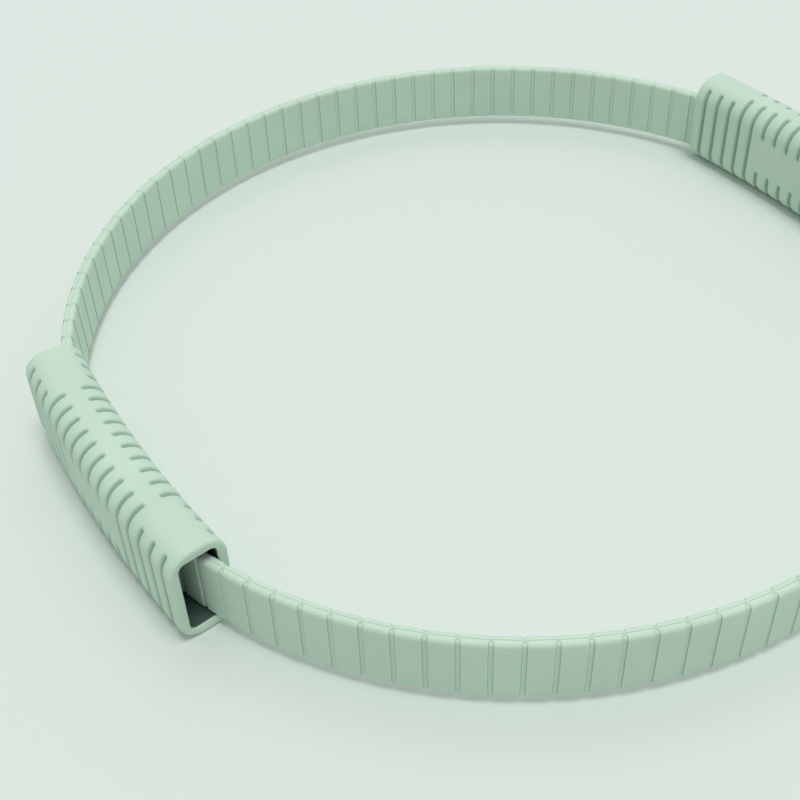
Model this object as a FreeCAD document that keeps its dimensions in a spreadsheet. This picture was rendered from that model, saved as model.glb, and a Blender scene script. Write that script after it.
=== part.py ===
"""Pilates ring: a ribbed spring hoop with two fluted grip sleeves that slide on it.

Millimetres. The ring lies flat: its axis is Z, the sleeves rest on z = 0 and stand on the X axis.
The hoop is two spring leaves in ribbed coverings, coupled end to end by a joiner under each sleeve.
"""
import FreeCAD
import Part
import Sketcher

import os
import re

# Driving sizes, in millimetres or in plain counts.
SIZES = {
    # Hoop band
    "ring_radius": 190.0,
    "band_thickness": 5.0,
    "band_height": 29.5,
    "edge_bevel": 1.7,
    # Grooves round the band, and how far each runs over the band's edges
    "groove_count": 108,
    "groove_width": 2.4,
    "groove_depth": 0.7,
    "groove_reach": 2.2,
    # Spring leaf inside the band
    "leaf_thickness": 1.8,
    "leaf_height": 22.0,
    "leaf_clearance": 0.2,
    "leaf_end_gap": 1.0,
    # Joiner under each sleeve, as long as a number of groove pitches
    "joiner_pads": 4,
    "joint_gap": 0.2,
    # Grip sleeve, bowed along its length
    "sleeve_length": 130.0,
    "sleeve_width": 24.0,
    "sleeve_height": 44.0,
    "sleeve_wall": 4.0,
    "sleeve_floor": 4.2,
    "sleeve_roof": 4.6,
    "sleeve_round": 8.5,
    "hollow_bevel": 2.2,
    "lip_bevel": 1.2,
    "least_bow": 2.0,
    "slide_gap": 0.3,
    "rub_gap": 0.4,
    "side_gap": 2.2,
    # Flutes down the sleeve's sides and over its upper corners, clear of the stripe along its top
    "flute_pitch": 7.8,
    "flute_width": 1.8,
    "flute_depth": 1.0,
    "flute_reach": 11.1,
    "stripe_width": 6.4,
    # How far a cutting outline stands clear of what it cuts
    "cut_margin": 2.0,
}

# Flutes in a row: short ones by the sleeve's ends, then long ones that reach the stripe. The middle
# ones of these stop part way down the side and start again near the bottom.
SHORT_FLUTES = 3
LONG_FLUTES = 2
MIDDLE_FLUTES = 6
FLUTE_COUNT = 2 * SHORT_FLUTES + 2 * LONG_FLUTES + MIDDLE_FLUTES

# Band: levels and radii that follow from the driving sizes
PITCH = "(360 / groove_count)"
BAND_FLOOR = "(sleeve_floor + slide_gap)"
BAND_TOP = f"({BAND_FLOOR} + band_height)"
BAND_MIDDLE = f"({BAND_FLOOR} + band_height / 2)"
INNER_FACE = "(ring_radius - band_thickness)"
MID_RADIUS = "(ring_radius - band_thickness / 2)"
LEAF_FLOOR = f"({BAND_MIDDLE} - leaf_height / 2)"
LEAF_TOP = f"({BAND_MIDDLE} + leaf_height / 2)"
COVER_PADS = "(groove_count / 2 - joiner_pads)"
JOINER_PADS = "joiner_pads"

# Sleeve: how far it bows, so that the band's own curve passes through the hollow with a gap on both
# sides, and the radius of that bow
HOLLOW_WIDTH = "(sleeve_width - 2 * sleeve_wall)"
BAND_CURVE = f"({INNER_FACE} - sqrt({INNER_FACE} ^ 2 - (sleeve_length / 2) ^ 2))"
BOW_RISE = f"max(least_bow; {BAND_CURVE} + band_thickness + rub_gap + side_gap - {HOLLOW_WIDTH})"
BOW_RADIUS = f"((sleeve_length / 2) ^ 2 / (2 * {BOW_RISE}) + {BOW_RISE} / 2)"

# Turns about the bow's axis, and where that axis lies so that the hollow's inner wall, which comes
# nearest the band at the sleeve's ends, keeps its gap there
BOW_ANGLE = "(sleeve_length / bow_radius * 180 / pi)"
LIP_ANGLE = "(lip_bevel / bow_radius * 180 / pi)"
FLUTE_ANGLE = "(flute_pitch / bow_radius * 180 / pi)"
WALL_RADIUS = "(bow_radius - sleeve_width / 2 + sleeve_wall)"
WALL_END_X = f"({WALL_RADIUS} * cos({BOW_ANGLE} / 2))"
WALL_END_Y = f"({WALL_RADIUS} * sin({BOW_ANGLE} / 2))"
BOW_AXIS = f"(sqrt({INNER_FACE} ^ 2 - {WALL_END_Y} ^ 2) - rub_gap - {WALL_END_X})"

doc = FreeCAD.newDocument("pilates_ring")
sheet = doc.addObject("Spreadsheet::Sheet", "Sizes")
for row, (alias, value) in enumerate(SIZES.items(), start=1):
    sheet.set(f"A{row}", alias.replace("_", " "))
    sheet.set(f"B{row}", str(value))
    sheet.setAlias(f"B{row}", alias)
sheet.set("D1", "bow radius")
sheet.set("E1", f"={BOW_RADIUS}")
sheet.setAlias("E1", "bow_radius")
doc.recompute()
NAMES = {*SIZES, "bow_radius"}


def formula(text):
    """Point the size names in a formula at the sheet's cells."""
    return re.sub(r"[a-z_]+", lambda word: f"Sizes.{word[0]}" if word[0] in NAMES else word[0], text)


def worth(text):
    """Present value of a formula."""
    value = sheet.evalExpression(formula(text))
    return float(getattr(value, "Value", value))


def bind(item, target, text):
    """Tie one property or constraint of an object to a formula."""
    item.setExpression(target, formula(text))


def origin_feature(body, role):
    """Origin plane or axis of a body."""
    return next(item for item in body.Origin.OriginFeatures if item.Role == role)


def place(piece, heading, out):
    """Turn a piece about the ring's axis and move it out along X."""
    turn = FreeCAD.Rotation(FreeCAD.Vector(0, 0, 1), heading)
    piece.Placement = FreeCAD.Placement(FreeCAD.Vector(), turn)
    bind(piece, "Placement.Base.x", f"{out} * cos({heading})")


def new_body(label, heading, out="0"):
    """Empty body named for its piece."""
    body = doc.addObject("PartDesign::Body", label)
    place(body, heading, out)
    return body


def twin(label, original, heading, out="0"):
    """Second piece of the same form, at another place on the ring."""
    link = doc.addObject("App::Link", label)
    link.LinkedObject = original
    place(link, heading, out)
    return link


def polygon(body, name, corners, turn="0"):
    """Closed upright outline, turned about Z, whose corners are each given by two formulas."""
    sketch = body.newObject("Sketcher::SketchObject", name)
    sketch.AttachmentSupport = [(origin_feature(body, "XZ_Plane"), "")]
    sketch.MapMode = "FlatFace"
    upright = FreeCAD.Rotation(FreeCAD.Vector(0, 1, 0), 0)
    sketch.AttachmentOffset = FreeCAD.Placement(FreeCAD.Vector(), upright)
    bind(sketch, "AttachmentOffset.Rotation.Angle", turn)
    points = [FreeCAD.Vector(worth(across), worth(up), 0) for across, up in corners]
    lines = [
        sketch.addGeometry(Part.LineSegment(start, end), False)
        for start, end in zip(points, points[1:] + points[:1])]
    for line, following in zip(lines, lines[1:] + lines[:1]):
        sketch.addConstraint(Sketcher.Constraint("Coincident", line, 2, following, 1))
    for line, corner in zip(lines, corners):
        for kind, text in zip(("DistanceX", "DistanceY"), corner):
            index = sketch.addConstraint(Sketcher.Constraint(kind, -1, 1, line, 1, worth(text)))
            bind(sketch, f"Constraints[{index}]", text)
    return sketch


def turned(body, kind, name, sketch, angle):
    """Solid of revolution about Z, added or cut, evenly to both sides of its sketch."""
    feature = body.newObject(f"PartDesign::{kind}", name)
    feature.Profile = sketch
    feature.ReferenceAxis = (sketch, ["V_Axis"])
    feature.Midplane = True
    bind(feature, "Angle", angle)
    doc.recompute()
    return feature


def straight(body, kind, name, sketch, length):
    """Straight bar or slot, evenly to both sides of its sketch."""
    feature = body.newObject(f"PartDesign::{kind}", name)
    feature.Profile = sketch
    feature.Midplane = True
    bind(feature, "Length", length)
    doc.recompute()
    return feature


def repeated(body, name, original, count, step):
    """Copies of a feature at equal steps round the body's Z axis."""
    pattern = body.newObject("PartDesign::PolarPattern", name)
    pattern.Originals = [original]
    pattern.Axis = (origin_feature(body, "Z_Axis"), [""])
    bind(pattern, "Occurrences", count)
    bind(pattern, "Angle", f"({count} - 1) * {step}")
    body.Tip = pattern
    doc.recompute()
    return pattern


def ribbed_band(label, heading, pads):
    """Stretch of band: flat pads round the ring, grooved at each bend, with a channel for the leaf.

    Every groove runs down its face and over both edges, and fades out beside the middle of the edge.
    """
    body = new_body(label, heading)
    section = [
        (f"{INNER_FACE} + edge_bevel", BAND_FLOOR), ("ring_radius - edge_bevel", BAND_FLOOR),
        ("ring_radius", f"{BAND_FLOOR} + edge_bevel"), ("ring_radius", f"{BAND_TOP} - edge_bevel"),
        ("ring_radius - edge_bevel", BAND_TOP), (f"{INNER_FACE} + edge_bevel", BAND_TOP),
        (INNER_FACE, f"{BAND_TOP} - edge_bevel"), (INNER_FACE, f"{BAND_FLOOR} + edge_bevel")]
    pad_section = polygon(body, "pad_section", section, f"-{pads} / 2 * {PITCH}")
    # A pad's length, so that neighbours meet under the groove between them
    pad_length = f"2 * (ring_radius - groove_depth / 2) * tan({PITCH} / 2)"
    pad = straight(body, "Pad", "pad", pad_section, pad_length)
    repeated(body, "pads", pad, f"({pads} + 1)", PITCH)

    inside, outside = f"{INNER_FACE} - cut_margin", "ring_radius + cut_margin"
    below, above = f"{BAND_FLOOR} - cut_margin", f"{BAND_TOP} + cut_margin"
    beyond_ends = [(inside, below), (outside, below), (outside, above), (inside, above)]
    end_section = polygon(body, "end_section", beyond_ends, "180")
    cut_angle = f"360 - {pads} * {PITCH} + joint_gap / {MID_RADIUS} * 180 / pi"
    turned(body, "Groove", "ends", end_section, cut_angle)

    half_channel = "(leaf_thickness / 2 + leaf_clearance)"
    channel = [
        (f"{MID_RADIUS} - {half_channel}", f"{LEAF_FLOOR} - leaf_clearance"),
        (f"{MID_RADIUS} + {half_channel}", f"{LEAF_FLOOR} - leaf_clearance"),
        (f"{MID_RADIUS} + {half_channel}", f"{LEAF_TOP} + leaf_clearance"),
        (f"{MID_RADIUS} - {half_channel}", f"{LEAF_TOP} + leaf_clearance")]
    turned(body, "Groove", "channel", polygon(body, "channel_section", channel), "360")

    drop = "(groove_reach - groove_depth)"
    first = f"-({pads} - 1) / 2 * {PITCH}"
    for side, face, inward, clear in (
            ("outer", "ring_radius", "-", outside), ("inner", INNER_FACE, "+", inside)):
        end = f"{face} {inward} groove_reach"
        floor = f"{face} {inward} groove_depth"
        groove = [
            (end, BAND_TOP), (end, above), (clear, above), (clear, below), (end, below), (end, BAND_FLOOR),
            (floor, f"{BAND_FLOOR} + {drop}"), (floor, f"{BAND_TOP} - {drop}")]
        groove_section = polygon(body, f"{side}_groove_section", groove, first)
        slot = straight(body, "Pocket", f"{side}_groove", groove_section, "groove_width")
        repeated(body, f"{side}_grooves", slot, pads, PITCH)
    return body


def spring_leaf(label, heading):
    """Half hoop of flat spring strip, whose ends lie in the joiners."""
    body = new_body(label, heading)
    inside, outside = f"{MID_RADIUS} - leaf_thickness / 2", f"{MID_RADIUS} + leaf_thickness / 2"
    section = [(inside, LEAF_FLOOR), (outside, LEAF_FLOOR), (outside, LEAF_TOP), (inside, LEAF_TOP)]
    leaf_section = polygon(body, "leaf_section", section)
    turned(body, "Revolution", "leaf", leaf_section, f"180 - leaf_end_gap / {MID_RADIUS} * 180 / pi")
    return body


def sleeve_outline(inset):
    """Sleeve's section, its corners eased by three flats each, drawn in all round by an inset."""
    radius = f"(sleeve_round - {inset})"
    reach = "(sleeve_width / 2 - sleeve_round)"
    corners = []
    for turn, across, level in (
            (0, f"bow_radius + {reach}", "(sleeve_height - sleeve_round)"),
            (90, f"bow_radius - {reach}", "(sleeve_height - sleeve_round)"),
            (180, f"bow_radius - {reach}", "sleeve_round"), (270, f"bow_radius + {reach}", "sleeve_round")):
        corners += [
            (f"{across} + {radius} * cos({turn + ease})", f"{level} + {radius} * sin({turn + ease})")
            for ease in (0, 30, 60, 90)]
    return corners


def flutes(body, name, section, first, count):
    """Row of equal flutes cut square across the bowed sleeve."""
    turn = f"({first} - {(FLUTE_COUNT - 1) / 2}) * {FLUTE_ANGLE}"
    slot = straight(body, "Pocket", name, polygon(body, f"{name}_section", section, turn), "flute_width")
    repeated(body, f"{name}_row", slot, str(count), FLUTE_ANGLE)


def grip_sleeve(label, heading):
    """Hollow fluted tube, bowed a little outward, that slides on the band."""
    body = new_body(label, heading, BOW_AXIS)
    tube_section = polygon(body, "tube_section", sleeve_outline("0"))
    turned(body, "Revolution", "tube", tube_section, f"{BOW_ANGLE} - 2 * {LIP_ANGLE}")
    for end, way in (("near", "-"), ("far", "")):
        start_turn = f"{way}({BOW_ANGLE} / 2 - {LIP_ANGLE})"
        start = polygon(body, f"{end}_lip_start", sleeve_outline("0"), start_turn)
        finish = polygon(body, f"{end}_lip_end", sleeve_outline("lip_bevel"), f"{way}{BOW_ANGLE} / 2")
        lip = body.newObject("PartDesign::AdditiveLoft", f"{end}_lip")
        lip.Profile = start
        lip.Sections = [finish]
        lip.Ruled = True
        doc.recompute()

    left, right = WALL_RADIUS, "(bow_radius + sleeve_width / 2 - sleeve_wall)"
    floor, roof = "sleeve_floor", "(sleeve_height - sleeve_roof)"
    hollow = [
        (f"{left} + hollow_bevel", floor), (f"{right} - hollow_bevel", floor),
        (right, f"{floor} + hollow_bevel"), (right, f"{roof} - hollow_bevel"),
        (f"{right} - hollow_bevel", roof), (f"{left} + hollow_bevel", roof),
        (left, f"{roof} - hollow_bevel"), (left, f"{floor} + hollow_bevel")]
    turned(body, "Groove", "hollow", polygon(body, "hollow_section", hollow), f"2 * {BOW_ANGLE}")

    above, below = "sleeve_height + cut_margin", "-cut_margin"
    shoulder = "sleeve_height - sleeve_round"
    ease = "(sleeve_round - flute_depth) * sqrt(0.5)"
    long_end = SHORT_FLUTES + LONG_FLUTES + MIDDLE_FLUTES
    for side, way in (("outer", "+"), ("inner", "-")):
        stripe = f"bow_radius {way} stripe_width / 2"
        corner = f"bow_radius {way} (sleeve_width / 2 - sleeve_round)"
        bend = f"bow_radius {way} (sleeve_width / 2 - sleeve_round + {ease})"
        wall = f"bow_radius {way} (sleeve_width / 2 - flute_depth)"
        clear = f"bow_radius {way} (sleeve_width / 2 + cut_margin)"
        from_corner = [(clear, above), (bend, above), (bend, f"{shoulder} + {ease}"), (wall, shoulder)]
        from_stripe = [
            (clear, above), (stripe, above), (stripe, "sleeve_height - flute_depth"),
            (corner, "sleeve_height - flute_depth"), (bend, f"{shoulder} + {ease}"), (wall, shoulder)]
        to_bottom = [(wall, below), (clear, below)]
        to_stop = [(wall, "sleeve_height - flute_reach"), (clear, "sleeve_height - flute_reach")]
        low_start = [(clear, "flute_reach"), (wall, "flute_reach")]
        for name, section, first, count in (
                ("short_near", from_corner + to_bottom, 0, SHORT_FLUTES),
                ("long_near", from_stripe + to_bottom, SHORT_FLUTES, LONG_FLUTES),
                ("middle_upper", from_stripe + to_stop, SHORT_FLUTES + LONG_FLUTES, MIDDLE_FLUTES),
                ("middle_lower", low_start + to_bottom, SHORT_FLUTES + LONG_FLUTES, MIDDLE_FLUTES),
                ("long_far", from_stripe + to_bottom, long_end, LONG_FLUTES),
                ("short_far", from_corner + to_bottom, long_end + LONG_FLUTES, SHORT_FLUTES)):
            flutes(body, f"{side}_{name}", section, first, count)
    return body


leaf = spring_leaf("spring_leaf_front", -90)
cover = ribbed_band("band_cover_front", -90, COVER_PADS)
joiner = ribbed_band("joiner_right", 0, JOINER_PADS)
sleeve = grip_sleeve("grip_sleeve_right", 0)
pieces = [
    leaf, twin("spring_leaf_back", leaf, 90),
    cover, twin("band_cover_back", cover, 90),
    joiner, twin("joiner_left", joiner, 180),
    sleeve, twin("grip_sleeve_left", sleeve, 180, BOW_AXIS)]
doc.recompute()

for item in doc.Objects:
    if "Invalid" in item.State or "Error" in item.State:
        raise RuntimeError(f"{item.Label}: {item.State}")
os.makedirs("parts", exist_ok=True)
for piece in pieces:
    solid = Part.getShape(piece)
    if solid.isNull() or not solid.isValid() or len(solid.Solids) != 1:
        raise RuntimeError(f"{piece.Label}: not one valid solid")
    solid.exportStep(f"parts/{piece.Label}.step")
    print(piece.Label, round(solid.Volume, 1))
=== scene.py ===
import math

import bmesh
import bpy
from mathutils import Matrix, Vector


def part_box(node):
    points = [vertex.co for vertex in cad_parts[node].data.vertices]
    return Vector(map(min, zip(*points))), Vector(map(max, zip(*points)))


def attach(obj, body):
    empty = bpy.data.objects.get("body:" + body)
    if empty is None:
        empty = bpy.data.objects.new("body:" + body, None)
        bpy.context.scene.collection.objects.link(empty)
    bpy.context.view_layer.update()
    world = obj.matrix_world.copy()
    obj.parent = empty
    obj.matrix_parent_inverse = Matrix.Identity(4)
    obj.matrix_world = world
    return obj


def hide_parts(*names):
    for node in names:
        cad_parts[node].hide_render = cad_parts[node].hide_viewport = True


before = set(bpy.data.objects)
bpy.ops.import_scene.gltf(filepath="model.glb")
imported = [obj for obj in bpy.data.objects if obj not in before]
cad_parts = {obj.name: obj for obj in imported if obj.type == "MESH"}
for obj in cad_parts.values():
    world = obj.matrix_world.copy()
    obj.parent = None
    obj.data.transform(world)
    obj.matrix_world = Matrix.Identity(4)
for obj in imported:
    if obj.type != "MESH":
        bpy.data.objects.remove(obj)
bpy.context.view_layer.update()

bpy.context.scene.view_settings.view_transform = "Standard"


# Spring leaves: two half hoops of rolled spring steel strip, blued by heat treatment. They lie
# inside the coverings with their ends in the joiners, and show only at a joint's hairline.
def new_material(name):
    """Material with a bare Principled shader, and its node tree."""
    material = bpy.data.materials.new(name)
    material.use_nodes = True
    tree = material.node_tree
    return material, tree, tree.nodes["Principled BSDF"]


def stretched_noise(tree, scale, stretch, detail):
    """Noise on the piece's own coordinates, stretched along its axes."""
    place = tree.nodes.new("ShaderNodeTexCoord")
    mapping = tree.nodes.new("ShaderNodeMapping")
    mapping.inputs["Scale"].default_value = stretch
    noise = tree.nodes.new("ShaderNodeTexNoise")
    noise.inputs["Scale"].default_value = scale
    noise.inputs["Detail"].default_value = detail
    tree.links.new(place.outputs["Object"], mapping.inputs["Vector"])
    tree.links.new(mapping.outputs["Vector"], noise.inputs["Vector"])
    return noise


def noise_ramp(tree, noise, low_colour, high_colour):
    """Colour ramp over the range in which most of a noise lies."""
    node = tree.nodes.new("ShaderNodeValToRGB")
    stops = ((NOISE_LOW, low_colour), (NOISE_HIGH, high_colour))
    for element, (place, colour) in zip(node.color_ramp.elements, stops):
        element.position = place
        element.color = (*colour, 1.0)
    tree.links.new(noise.outputs["Fac"], node.inputs["Fac"])
    return node.outputs["Color"]


STEEL_DARK = (0.17, 0.18, 0.20)
STEEL_LIGHT = (0.34, 0.35, 0.36)
STEEL_ROUGHNESS = (0.30, 0.48)
ROLLING_SCALE = 90.0
ROLLING_STRETCH = (1.0, 1.0, 40.0)
ROLLING_DETAIL = 6.0
# Levels of the noise between which most of it lies
NOISE_LOW, NOISE_HIGH = 0.3, 0.7

spring_steel, tree, shader = new_material("rolled spring steel")
rolling = stretched_noise(tree, ROLLING_SCALE, ROLLING_STRETCH, ROLLING_DETAIL)
tint = noise_ramp(tree, rolling, STEEL_DARK, STEEL_LIGHT)
roughness = noise_ramp(tree, rolling, *((level,) * 3 for level in STEEL_ROUGHNESS))
tree.links.new(tint, shader.inputs["Base Color"])
tree.links.new(roughness, shader.inputs["Roughness"])
shader.inputs["Metallic"].default_value = 1.0
for node in ("spring_leaf_front", "spring_leaf_back"):
    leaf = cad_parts[node]
    leaf.data.materials.clear()
    leaf.data.materials.append(spring_steel)


# Band coverings: thermoplastic rubber moulded on each spring leaf, in matte mint green. Upright
# grooves cross both faces, wrap the rounded edges and end in an arch beside the mould's parting line.
band_low, band_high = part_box("band_cover_front")
RING_RADIUS = -band_low[1]
BAND_FLOOR = band_low[2]
BAND_TOP = band_high[2]
BAND_THICKNESS = 0.005
EDGE_ROUND = 0.0019
EDGE_SEGMENTS = 6
TOP_CUTS = 7
SIDE_CUTS = 5
MID_RADIUS = RING_RADIUS - BAND_THICKNESS / 2
GROOVE_COUNT = 108
PITCH = 2 * math.pi / GROOVE_COUNT
GROOVE_DEPTH = 0.00055
GROOVE_FLOOR = 0.00068
GROOVE_LIP = 0.00114
GROOVE_CREST = 0.00128
GROOVE_REACH = 0.0022
# Shares of a groove's depth that are left where it crosses the band's outer and inner edges
EDGE_DEPTH = 0.7
INNER_EDGE_DEPTH = 0.35
# Share of the painted highlight along the band's rims
RIM_HIGHLIGHT = 0.5
PARTING_DEPTH = 0.00018
PARTING_WIDTH = 0.00005
JOINT_ROUND = 0.00025
JOINT_SEGMENTS = 2
SMOOTH_ANGLE = math.radians(50)
JOINER_PADS = 4
COVER_PADS = GROOVE_COUNT // 2 - JOINER_PADS
# Distances from a groove's middle at which the band has a ring of points, out to the pad's middle
GROOVE_RINGS = (0.0, 0.00040, 0.00068, 0.00078, 0.00090, 0.00102, 0.00114, 0.00128, 0.00150, 0.0032)
# Points this near to each other, to a level or to a turn count as one with it
SAME_PLACE = 1e-6
SAME_LEVEL = 1e-5
SAME_TURN = 1e-5


def pick_edges(piece, test):
    """Select, in edit mode, the edges of a piece whose middle passes a test."""
    bpy.ops.mesh.select_all(action="DESELECT")
    bpy.ops.mesh.select_mode(type="EDGE")
    shape = bmesh.from_edit_mesh(piece.data)
    for edge in shape.edges:
        first, second = edge.verts
        edge.select_set(test((first.co + second.co) / 2))
    shape.select_flush_mode()
    bmesh.update_edit_mesh(piece.data)


def rounded_outline(name, centre, width, height, rounding, segments, top_cuts, side_cuts):
    """Upright rounded rectangle of edges only, square to Y, left selected in edit mode."""
    bpy.ops.object.select_all(action="DESELECT")
    bpy.ops.mesh.primitive_plane_add(size=1, location=centre, rotation=(math.pi / 2, 0, 0))
    piece = bpy.context.object
    piece.name = name
    piece.scale = (width, height, 1)
    bpy.ops.object.transform_apply(location=True, rotation=True, scale=True)
    bpy.ops.object.mode_set(mode="EDIT")
    bpy.ops.mesh.bevel(offset=rounding, segments=segments, affect="VERTICES")
    bpy.ops.mesh.select_all(action="SELECT")
    bpy.ops.mesh.delete(type="ONLY_FACE")
    pick_edges(piece, lambda middle: abs(middle.z - centre[2]) > height / 2 - SAME_PLACE)
    bpy.ops.mesh.subdivide(number_cuts=top_cuts)
    pick_edges(piece, lambda middle: abs(middle.x - centre[0]) > width / 2 - SAME_PLACE)
    bpy.ops.mesh.subdivide(number_cuts=side_cuts)
    bpy.ops.mesh.select_all(action="SELECT")
    return piece


# Without a window, spin turns clockwise about its axis
SPIN_AXIS = (0, 0, -1)


def sweep(half_rings, count, centre):
    """Carry the selected outline round an upright axis, through a number of like stretches.

    Each stretch is even about its middle, from which the rings' angles are counted.
    """
    steps = [after - before for before, after in zip(half_rings, half_rings[1:])]
    for step in steps[::-1] + steps:
        bpy.ops.mesh.spin(steps=1, angle=step, center=centre, axis=SPIN_AXIS)
    stretch = 2 * half_rings[-1]
    bpy.ops.mesh.select_all(action="SELECT")
    bpy.ops.mesh.spin(
        steps=count - 1, dupli=True, angle=stretch * (count - 1), center=centre, axis=SPIN_AXIS)
    bpy.ops.mesh.select_all(action="SELECT")
    bpy.ops.mesh.remove_doubles(threshold=SAME_PLACE)


def turn_piece(piece, turn, centre=(0, 0, 0)):
    """Turn a piece about an upright axis, with the turn kept in its mesh."""
    bpy.ops.object.select_all(action="DESELECT")
    piece.select_set(True)
    bpy.context.view_layer.objects.active = piece
    out = Matrix.Translation(centre)
    piece.matrix_world = out @ Matrix.Rotation(turn, 4, "Z") @ out.inverted()
    bpy.ops.object.transform_apply(location=True, rotation=True, scale=True)


def twin(piece, name, turn):
    """Copy of a piece with its own mesh, turned about the ring's axis."""
    bpy.ops.object.select_all(action="DESELECT")
    piece.select_set(True)
    bpy.context.view_layer.objects.active = piece
    bpy.ops.object.duplicate()
    copy = bpy.context.object
    copy.name = name
    turn_piece(copy, turn)
    return copy


def mark(piece, name, share):
    """Keep a share for each point of a piece, as an attribute for its material."""
    shares = [share(point.co) for point in piece.data.vertices]
    kept = piece.data.attributes.new(name, "FLOAT", "POINT")
    kept.data.foreach_set("value", shares)


def press_in(piece, name, depth, share):
    """Sink a piece's surface by a depth, times the share that each of its points has."""
    shares = [share(point.co) for point in piece.data.vertices]
    group = piece.vertex_groups.new(name=name)
    for index, weight in enumerate(shares):
        if weight > 0:
            group.add([index], weight, "REPLACE")
    sink = piece.modifiers.new(name, "DISPLACE")
    sink.vertex_group = name
    sink.mid_level = 0.0
    sink.strength = -depth
    bpy.context.view_layer.objects.active = piece
    bpy.ops.object.modifier_apply(modifier=sink.name)


def fall(distance, full, none):
    """Share of one up to a distance, then smoothly down to nought."""
    part = min(max((distance - full) / (none - full), 0.0), 1.0)
    return 1.0 - part * part * (3.0 - 2.0 * part)


def from_groove(point):
    """Distance of a point of the band from the middle line of the nearest groove."""
    radius = math.hypot(point.x, point.y)
    across = (math.atan2(point.y, point.x) / PITCH % 1.0 - 0.5) * PITCH * radius
    inward = min(RING_RADIUS - radius, radius - RING_RADIUS + BAND_THICKNESS)
    beyond = max(0.0, inward - GROOVE_REACH + GROOVE_LIP)
    return math.hypot(across, beyond)


def groove_share(point):
    """How far into a groove a point of the band lies."""
    near_edge = fall(min(point.z - BAND_FLOOR, BAND_TOP - point.z), 0.0, EDGE_ROUND)
    outer = math.hypot(point.x, point.y) > MID_RADIUS
    full = 1.0 - (1.0 - (EDGE_DEPTH if outer else INNER_EDGE_DEPTH)) * near_edge
    return full * fall(from_groove(point), GROOVE_FLOOR, GROOVE_LIP)


def parting_share(point):
    """How far into the parting line, along both edges of the band, a point lies."""
    on_edge = min(point.z - BAND_FLOOR, BAND_TOP - point.z) < SAME_LEVEL
    return float(on_edge and abs(math.hypot(point.x, point.y) - MID_RADIUS) < PARTING_WIDTH)


def shade_share(point):
    """How near a point of the band lies to the middle of a groove's wall, or to the parting line, where
    the band gets painted shade.
    """
    share = fall(from_groove(point), GROOVE_FLOOR, GROOVE_LIP)
    # One half way up the wall, and nought at its foot and lip
    wall = 4.0 * share * (1.0 - share)
    return max(wall, parting_share(point))


def highlight_share(point):
    """How much painted highlight a point of the band gets: on the crest beside a groove and, at a lesser
    share, along the rims, with none where painted shade lies.
    """
    beside = fall(abs(from_groove(point) - GROOVE_CREST), 0.0, GROOVE_CREST - GROOVE_LIP)
    rim = RIM_HIGHLIGHT * fall(min(point.z - BAND_FLOOR, BAND_TOP - point.z), 0.0, EDGE_ROUND)
    return max(beside, rim) * (1.0 - shade_share(point))


def ribbed_band(name, pads, heading):
    """Stretch of the band, with a whole number of pads, centred on a heading round the ring."""
    centre = (MID_RADIUS, 0, (BAND_FLOOR + BAND_TOP) / 2)
    piece = rounded_outline(
        name, centre, BAND_THICKNESS, BAND_TOP - BAND_FLOOR,
        EDGE_ROUND, EDGE_SEGMENTS, TOP_CUTS, SIDE_CUTS)
    sweep([ring / MID_RADIUS for ring in GROOVE_RINGS] + [PITCH / 2], pads, (0, 0, 0))
    bpy.ops.mesh.fill_holes(sides=0)
    bpy.ops.mesh.select_all(action="SELECT")
    bpy.ops.mesh.normals_make_consistent(inside=False)

    def on_joint(middle):
        turn = math.atan2(middle.y, middle.x)
        from_ends = (math.remainder(turn - end, 2 * math.pi) for end in (0.0, PITCH * pads))
        return any(abs(away) < SAME_TURN for away in from_ends)

    pick_edges(piece, on_joint)
    bpy.ops.mesh.bevel(offset=JOINT_ROUND, segments=JOINT_SEGMENTS, affect="EDGES")
    bpy.ops.object.mode_set(mode="OBJECT")
    turn_piece(piece, heading - PITCH * pads / 2)
    # Painted shade on the groove walls and in the parting line, and painted highlight beside the grooves
    # and along the rims
    mark(piece, "painted_shade", shade_share)
    mark(piece, "painted_highlight", highlight_share)
    press_in(piece, "groove", GROOVE_DEPTH, groove_share)
    press_in(piece, "parting", PARTING_DEPTH, parting_share)
    bpy.ops.object.shade_smooth_by_angle(angle=SMOOTH_ANGLE)
    return piece


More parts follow.
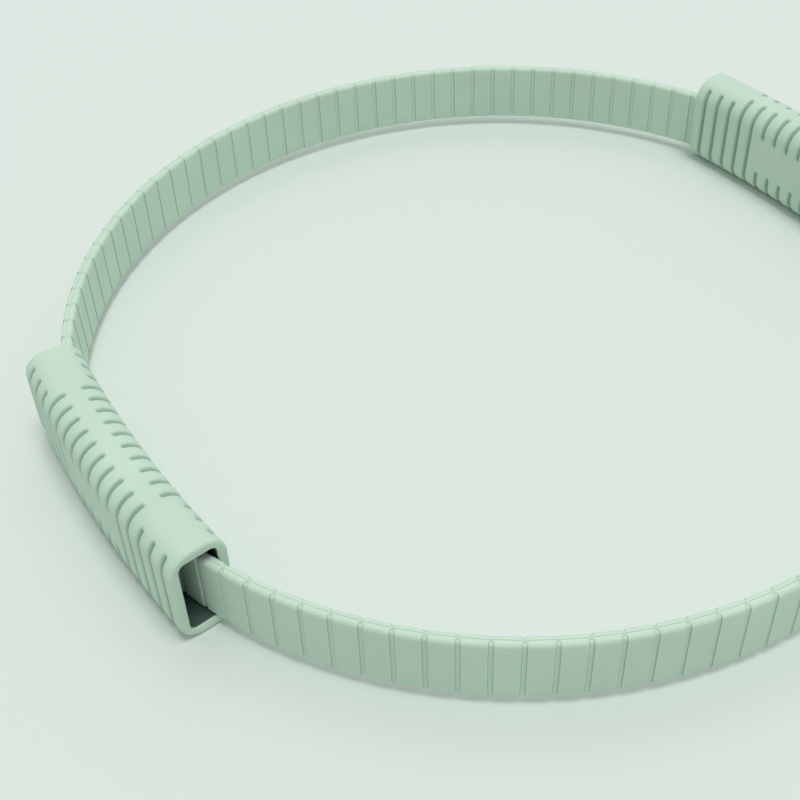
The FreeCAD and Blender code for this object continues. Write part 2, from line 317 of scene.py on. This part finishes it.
def moulded_rubber_group():
    """Shader group for matte moulded rubber: cloudy tint, fine grain, painted shade in grooves and
    flutes, painted highlight on crests and rims, and painted shade in the sleeves' hollow.
    """
    group = bpy.data.node_groups.new("moulded rubber", "ShaderNodeTree")
    for name in ("Tint", "Painted Shade Tint", "Painted Highlight Tint", "Inner Shade Tint"):
        group.interface.new_socket(name, in_out="INPUT", socket_type="NodeSocketColor")
    for name in ("Painted Shade", "Painted Highlight", "Inside", "Cloud Scale", "Grain Scale"):
        group.interface.new_socket(name, in_out="INPUT", socket_type="NodeSocketFloat")
    group.interface.new_socket("Colour", in_out="OUTPUT", socket_type="NodeSocketColor")
    group.interface.new_socket("Roughness", in_out="OUTPUT", socket_type="NodeSocketFloat")
    group.interface.new_socket("Height", in_out="OUTPUT", socket_type="NodeSocketFloat")
    nodes, link = group.nodes, group.links.new
    given, made = nodes.new("NodeGroupInput"), nodes.new("NodeGroupOutput")
    place = nodes.new("ShaderNodeTexCoord")

    def noise(scale, detail):
        texture = nodes.new("ShaderNodeTexNoise")
        texture.inputs["Detail"].default_value = detail
        link(place.outputs["Object"], texture.inputs["Vector"])
        link(given.outputs[scale], texture.inputs["Scale"])
        return texture.outputs["Fac"]

    def spread(source, low, high):
        node = nodes.new("ShaderNodeMapRange")
        node.inputs["From Min"].default_value = NOISE_LOW
        node.inputs["From Max"].default_value = NOISE_HIGH
        node.inputs["To Min"].default_value = low
        node.inputs["To Max"].default_value = high
        link(source, node.inputs["Value"])
        return node.outputs["Result"]

    def mixed(kind, share, first, second):
        node = nodes.new("ShaderNodeMix")
        node.data_type = "RGBA"
        node.blend_type = kind
        # For colours, the node's share is socket 0, its inputs are 6 and 7, and its result is 2
        sockets = (node.inputs[0], node.inputs[6], node.inputs[7])
        for value, socket in zip((share, first, second), sockets):
            if isinstance(value, (int, float)):
                socket.default_value = value
            else:
                link(value, socket)
        return node.outputs[2]

    clouds = noise("Cloud Scale", CLOUD_DETAIL)
    grain = noise("Grain Scale", GRAIN_DETAIL)
    # Painted shade in grooves and flutes, then painted highlight on crests and rims, then painted shade
    # in the sleeves' hollow
    tone = mixed("MIX", given.outputs["Painted Shade"], given.outputs["Tint"], given.outputs["Painted Shade Tint"])
    highlighted = mixed("MIX", given.outputs["Painted Highlight"], tone, given.outputs["Painted Highlight Tint"])
    skin = mixed("MIX", given.outputs["Inside"], highlighted, given.outputs["Inner Shade Tint"])
    clouded = mixed("MULTIPLY", 1.0, skin, spread(clouds, *CLOUD_TONES))
    link(mixed("MULTIPLY", 1.0, clouded, spread(grain, *GRAIN_TONES)), made.inputs["Colour"])
    link(spread(clouds, *RUBBER_ROUGHNESS), made.inputs["Roughness"])
    link(grain, made.inputs["Height"])
    return group


MINT = (0.546, 0.718, 0.588)
# Painted highlight tint for the crests beside the grooves and the band's rims
HIGHLIGHT_MINT = (0.630, 0.785, 0.665)
# Painted shade tint for the groove walls and the parting line
GROOVE_SHADE_MINT = (0.360, 0.510, 0.400)
# Painted shade tint for the sleeves' hollow
INNER_SHADE_GREEN = (0.055, 0.100, 0.083)
CLOUD_DETAIL = 4.0
CLOUD_TONES = (0.965, 1.035)
GRAIN_DETAIL = 2.0
GRAIN_TONES = (0.985, 1.015)
GRAIN_HEIGHT = 0.00003
GRAIN_STRENGTH = 0.35
RUBBER_ROUGHNESS = (0.54, 0.66)
moulded_rubber = moulded_rubber_group()


def rubber_material(name, tint, painted_shade_tint, cloud_scale, grain_scale):
    """Matte rubber with painted shade and painted highlight where the piece's own attributes mark it so.
    """
    material, tree, shader = new_material(name)
    skin = tree.nodes.new("ShaderNodeGroup")
    skin.node_tree = moulded_rubber
    for attribute, socket in (("painted_shade", "Painted Shade"), ("painted_highlight", "Painted Highlight"), ("inside", "Inside")):
        marked = tree.nodes.new("ShaderNodeAttribute")
        marked.attribute_name = attribute
        tree.links.new(marked.outputs["Fac"], skin.inputs[socket])
    skin.inputs["Tint"].default_value = (*tint, 1.0)
    skin.inputs["Painted Shade Tint"].default_value = (*painted_shade_tint, 1.0)
    skin.inputs["Painted Highlight Tint"].default_value = (*HIGHLIGHT_MINT, 1.0)
    skin.inputs["Inner Shade Tint"].default_value = (*INNER_SHADE_GREEN, 1.0)
    skin.inputs["Cloud Scale"].default_value = cloud_scale
    skin.inputs["Grain Scale"].default_value = grain_scale
    bump = tree.nodes.new("ShaderNodeBump")
    bump.inputs["Strength"].default_value = GRAIN_STRENGTH
    bump.inputs["Distance"].default_value = GRAIN_HEIGHT
    tree.links.new(skin.outputs["Colour"], shader.inputs["Base Color"])
    tree.links.new(skin.outputs["Roughness"], shader.inputs["Roughness"])
    tree.links.new(skin.outputs["Height"], bump.inputs["Height"])
    tree.links.new(bump.outputs["Normal"], shader.inputs["Normal"])
    return material


band_rubber = rubber_material(
    "mint band rubber", MINT, GROOVE_SHADE_MINT, cloud_scale=22.0, grain_scale=1800.0)
cover_front = ribbed_band("band_cover_front_skin", COVER_PADS, -math.pi / 2)
cover_front.data.materials.append(band_rubber)
cover_back = twin(cover_front, "band_cover_back_skin", math.pi)
for piece, node in ((cover_front, "band_cover_front"), (cover_back, "band_cover_back")):
    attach(piece, "hoop")
    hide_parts(node)


# Joiners: short couplings moulded to match the band, which carry the groove pattern across the joints
# between the coverings and lie hidden under the sleeves.
joiner_plastic = rubber_material(
    "mint joiner plastic", MINT, GROOVE_SHADE_MINT, cloud_scale=60.0, grain_scale=2600.0)
joiner_right = ribbed_band("joiner_right_skin", JOINER_PADS, 0.0)
joiner_right.data.materials.append(joiner_plastic)
joiner_left = twin(joiner_right, "joiner_left_skin", math.pi)
for piece, node in ((joiner_right, "joiner_right"), (joiner_left, "joiner_left")):
    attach(piece, "hoop")
    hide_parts(node)


# Grip sleeves: soft thermoplastic rubber tubes, bowed a little, that slide on the band. Rows of round
# ended flutes run over their long corners and down their sides, clear of a plain stripe along the top.
sleeve_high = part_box("grip_sleeve_right")[1]
SLEEVE_HEIGHT = sleeve_high[2]
SLEEVE_LENGTH = 0.130
SLEEVE_WIDTH = 0.024
SLEEVE_WALL = 0.004
SLEEVE_FLOOR = 0.0042
SLEEVE_ROOF = 0.0046
SLEEVE_ROUND = 0.0095
SLEEVE_SEGMENTS = 24
HOLLOW_ROUND = 0.003
BOW_RADIUS = 0.623
BOW_CENTRE = Vector((sleeve_high[0] - SLEEVE_WIDTH / 2 - BOW_RADIUS, 0, 0))
LIP_ROUND = 0.0014
LIP_SEGMENTS = 5
LIP_INNER_ROUND = 0.0006
LIP_INNER_SEGMENTS = 3
MOUTH_SKIN = 0.0014
STRIPE_CUTS = 13
FLANK_CUTS = 53
FLUTE_COUNT = 16
# Flutes at each end that start further from the stripe, and flutes that run the whole way down
SHORT_FLUTES = 3
FULL_FLUTES = 5
FLUTE_PITCH = 0.0078
FLUTE_DEPTH = 0.0016
# Share of a flute's depth in its narrow core, the rest being its soft shoulders
FLUTE_CORE = 0.75
FLUTE_BED = 0.0003
FLUTE_HALF = 0.00130
FLUTE_SHOULDER = 0.0026
LONG_TIP = 0.0032
SHORT_TIP = 0.0091
MIDDLE_STOP = 0.0212
# Distances from a flute's middle at which the sleeve has a ring of points
FLUTE_RINGS = (0.0, 0.0003, 0.0006, 0.0009, 0.0012, 0.0015, 0.0019, 0.0024, 0.0031)
# Half width, lowest and highest level, and corner rounding of the sleeve's outside and of its hollow
OUTSIDE = (SLEEVE_WIDTH / 2, 0.0, SLEEVE_HEIGHT, SLEEVE_ROUND)
HOLLOW = (SLEEVE_WIDTH / 2 - SLEEVE_WALL, SLEEVE_FLOOR, SLEEVE_HEIGHT - SLEEVE_ROOF, HOLLOW_ROUND)
# The end faces dish in a little towards the hollow
END_DISH = 0.0004
NEAR = 0.00002
PLAIN_END = SLEEVE_LENGTH / 2 - FLUTE_COUNT / 2 * FLUTE_PITCH


def bow_place(point):
    """Distance along the bow, offset across it, and height, of a point."""
    arm = Vector(point) - BOW_CENTRE
    along = math.atan2(arm.y, arm.x) * BOW_RADIUS
    return along, math.hypot(arm.x, arm.y) - BOW_RADIUS, point.z


def from_outline(across, up, half_width, low, high, rounding):
    """Distance of a point outside a rounded outline, below nought where it lies inside."""
    over = abs(across) - half_width + rounding
    rise = abs(up - (low + high) / 2) - (high - low) / 2 + rounding
    return math.hypot(max(over, 0.0), max(rise, 0.0)) + min(max(over, rise), 0.0) - rounding


def flute_share(point):
    """How far into a flute a point of the sleeve's outside lies."""
    along, across, up = bow_place(point)
    if from_outline(across, up, *OUTSIDE) < -SLEEVE_WALL / 2:
        return 0.0
    # Distance round the section from the middle of the stripe, above or below
    flat = SLEEVE_WIDTH / 2 - SLEEVE_ROUND
    rise = abs(up - SLEEVE_HEIGHT / 2) - SLEEVE_HEIGHT / 2 + SLEEVE_ROUND
    if rise <= 0:
        way = flat + SLEEVE_ROUND * math.pi / 2 - rise
    else:
        way = min(abs(across), flat) + SLEEVE_ROUND * math.atan2(max(abs(across) - flat, 0.0), rise)
    number = min(max(math.floor(along / FLUTE_PITCH + FLUTE_COUNT / 2), 0), FLUTE_COUNT - 1)
    off = along - (number - (FLUTE_COUNT - 1) / 2) * FLUTE_PITCH
    from_end = min(number, FLUTE_COUNT - 1 - number)
    start = (SHORT_TIP if from_end < SHORT_FLUTES else LONG_TIP) + FLUTE_HALF
    beyond = max(start - way, 0.0)
    if from_end >= FULL_FLUTES:
        beyond = max(beyond, way - MIDDLE_STOP + FLUTE_HALF)
    distance = math.hypot(off, beyond)
    core = fall(distance, FLUTE_BED, FLUTE_HALF)
    shoulder = fall(distance, 0.0, FLUTE_SHOULDER)
    return FLUTE_CORE * core + (1.0 - FLUTE_CORE) * shoulder


def inner_shade_share(point):
    """One for a point of the sleeve's hollow, behind the skin at its mouths, which gets painted shade,
    and nought elsewhere.
    """
    along, across, up = bow_place(point)
    if from_outline(across, up, *HOLLOW) > NEAR:
        return 0.0
    return float(SLEEVE_LENGTH / 2 - abs(along) > MOUTH_SKIN - NEAR)


def pick_rims(piece, end, outlines):
    """Select the edges of one or more outlines at one end of a sleeve."""
    def on_rim(middle):
        along, across, up = bow_place(middle)
        at_end = along * end > SLEEVE_LENGTH / 2 - END_DISH - NEAR
        return at_end and any(abs(from_outline(across, up, *outline)) < NEAR for outline in outlines)

    pick_edges(piece, on_rim)


def swept_tube(name, outline, rings, count, end_length):
    """Rounded tube along the bow, open at both ends, with a plain length at each end."""
    half_width, low, high, rounding = outline
    centre = BOW_CENTRE + Vector((BOW_RADIUS, 0, (low + high) / 2))
    piece = rounded_outline(
        name, centre, 2 * half_width, high - low,
        rounding, SLEEVE_SEGMENTS, STRIPE_CUTS, FLANK_CUTS)
    sweep([ring / BOW_RADIUS for ring in rings], count, BOW_CENTRE)
    half_length = rings[-1] * count
    bpy.ops.object.mode_set(mode="OBJECT")
    turn_piece(piece, -half_length / BOW_RADIUS, BOW_CENTRE)
    bpy.ops.object.mode_set(mode="EDIT")
    for end in (-1, 1):
        pick_edges(piece, lambda middle: bow_place(middle)[0] * end > half_length - NEAR)
        turn = end * end_length / BOW_RADIUS
        bpy.ops.mesh.spin(steps=1, angle=turn, center=BOW_CENTRE, axis=SPIN_AXIS)
    bpy.ops.object.mode_set(mode="OBJECT")
    return piece


def grip_sleeve(name):
    """Fluted sleeve at the right of the ring."""
    piece = swept_tube(name, OUTSIDE, (*FLUTE_RINGS, FLUTE_PITCH / 2), FLUTE_COUNT, PLAIN_END)
    inside_half = (SLEEVE_LENGTH / 2 - MOUTH_SKIN) / FLUTE_COUNT
    swept_tube(f"{name}_hollow", HOLLOW, (0.0, inside_half), FLUTE_COUNT, MOUTH_SKIN - END_DISH)
    piece.select_set(True)
    bpy.context.view_layer.objects.active = piece
    bpy.ops.object.join()
    bpy.ops.object.mode_set(mode="EDIT")
    for end in (-1, 1):
        pick_rims(piece, end, (OUTSIDE, HOLLOW))
        bpy.ops.mesh.bridge_edge_loops()
    bpy.ops.mesh.select_all(action="SELECT")
    bpy.ops.mesh.normals_make_consistent(inside=False)
    for end in (-1, 1):
        pick_rims(piece, end, (OUTSIDE,))
        bpy.ops.mesh.bevel(offset=LIP_ROUND, segments=LIP_SEGMENTS, affect="EDGES")
        pick_rims(piece, end, (HOLLOW,))
        bpy.ops.mesh.bevel(offset=LIP_INNER_ROUND, segments=LIP_INNER_SEGMENTS, affect="EDGES")
    bpy.ops.object.mode_set(mode="OBJECT")
    # Painted shade in the flutes and in the sleeve's hollow
    mark(piece, "painted_shade", flute_share)
    mark(piece, "inside", inner_shade_share)
    press_in(piece, "flute", FLUTE_DEPTH, flute_share)
    bpy.ops.object.shade_smooth_by_angle(angle=SMOOTH_ANGLE)
    return piece


# Painted shade tint for the flutes
FLUTE_SHADE_MINT = (0.265, 0.425, 0.330)
sleeve_rubber = rubber_material(
    "mint sleeve rubber", MINT, FLUTE_SHADE_MINT, cloud_scale=30.0, grain_scale=1500.0)
sleeve_right = grip_sleeve("grip_sleeve_right_skin")
sleeve_right.data.materials.append(sleeve_rubber)
sleeve_left = twin(sleeve_right, "grip_sleeve_left_skin", math.pi)
for piece, side in ((sleeve_right, "right"), (sleeve_left, "left")):
    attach(piece, f"grip_{side}")
    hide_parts(f"grip_sleeve_{side}")


# Floor: a plain pale sheet of matte paper under the ring, wide enough to fill the view. It lies a hair
# below the sleeves' undersides, so that the two never share a level.
FLOOR_SIZE = 12.0
FLOOR_DROP = 0.00005
FLOOR_COLOUR = (0.716, 0.791, 0.745)
FLOOR_ROUGHNESS = 0.9

bpy.ops.object.select_all(action="DESELECT")
bpy.ops.mesh.primitive_plane_add(size=FLOOR_SIZE, location=(0, 0, -FLOOR_DROP))
floor = bpy.context.object
floor.name = "floor"
bpy.ops.object.transform_apply(location=True)
paper, tree, shader = new_material("pale floor")
shader.inputs["Base Color"].default_value = (*FLOOR_COLOUR, 1.0)
shader.inputs["Roughness"].default_value = FLOOR_ROUGHNESS
shader.inputs["Specular IOR Level"].default_value = 0.0
floor.data.materials.append(paper)


# Light: a white surround, brighter behind the ring than in front of it, a broad lamp nearly overhead
# that keeps the shadows close under the band, and a weaker one from behind that models the flutes.
FRONT_LIGHT = 0.38
BACK_LIGHT = 0.72
# Level heading away from the camera
BACKWARD = (0.528, 0.849, 0.0)
# Strength, breadth, tilt from overhead and heading of each lamp
LAMPS = (
    (1.30, math.radians(22), math.radians(11.5), math.radians(5)),
    (0.22, math.radians(30), math.radians(30), math.radians(150)))

world = bpy.data.worlds.new("studio")
world.use_nodes = True
bpy.context.scene.world = world
tree = world.node_tree
background = tree.nodes["Background"]
background.inputs["Color"].default_value = (1.0, 1.0, 1.0, 1.0)
direction = tree.nodes.new("ShaderNodeTexCoord")
rearward = tree.nodes.new("ShaderNodeVectorMath")
rearward.operation = "DOT_PRODUCT"
rearward.inputs[1].default_value = BACKWARD
level = tree.nodes.new("ShaderNodeMapRange")
level.inputs["From Min"].default_value = -1.0
level.inputs["To Min"].default_value = FRONT_LIGHT
level.inputs["To Max"].default_value = BACK_LIGHT
tree.links.new(direction.outputs["Generated"], rearward.inputs[0])
tree.links.new(rearward.outputs["Value"], level.inputs["Value"])
tree.links.new(level.outputs["Result"], background.inputs["Strength"])
backdrop = tree.nodes.new("ShaderNodeBackground")
backdrop.inputs["Color"].default_value = (*FLOOR_COLOUR, 1.0)
# The camera and reflections see the floor's colour all round, in place of the surround's light
ray = tree.nodes.new("ShaderNodeLightPath")
seen = ray.outputs["Is Camera Ray"]
for kind in ("Is Glossy Ray", "Is Transmission Ray"):
    either = tree.nodes.new("ShaderNodeMath")
    either.operation = "MAXIMUM"
    tree.links.new(seen, either.inputs[0])
    tree.links.new(ray.outputs[kind], either.inputs[1])
    seen = either.outputs["Value"]
shown = tree.nodes.new("ShaderNodeMixShader")
tree.links.new(seen, shown.inputs["Fac"])
tree.links.new(background.outputs["Background"], shown.inputs[1])
tree.links.new(backdrop.outputs["Background"], shown.inputs[2])
tree.links.new(shown.outputs["Shader"], tree.nodes["World Output"].inputs["Surface"])
for strength, breadth, tilt, heading in LAMPS:
    bpy.ops.object.light_add(type="SUN", rotation=(tilt, 0, heading))
    lamp = bpy.context.object
    lamp.data.energy = strength
    lamp.data.angle = breadth


# Camera: at the photograph's place, turned, raised and rolled about the point that it aims at. Its place
# and lens come from a fit to the band's rims, its grooves and the sleeves' edges.
CAMERA_AIM = Vector((-0.06075, -0.00782, 0.0045))
CAMERA_DISTANCE = 0.55547
CAMERA_HEADING = math.radians(-31.9)
CAMERA_ELEVATION = math.radians(43.30)
CAMERA_ROLL = math.radians(-2.543)
CAMERA_LENS = 58.72
CAMERA_NEAR = 0.01

bpy.ops.object.camera_add()
camera = bpy.context.object
pose = (
    Matrix.Rotation(CAMERA_HEADING, 4, "Z")
    @ Matrix.Rotation(math.pi / 2 - CAMERA_ELEVATION, 4, "X")
    @ Matrix.Rotation(CAMERA_ROLL, 4, "Z"))
back_off = Matrix.Translation((0, 0, CAMERA_DISTANCE))
camera.matrix_world = Matrix.Translation(CAMERA_AIM) @ pose @ back_off
camera.data.lens = CAMERA_LENS
camera.data.clip_start = CAMERA_NEAR
bpy.context.scene.camera = camera
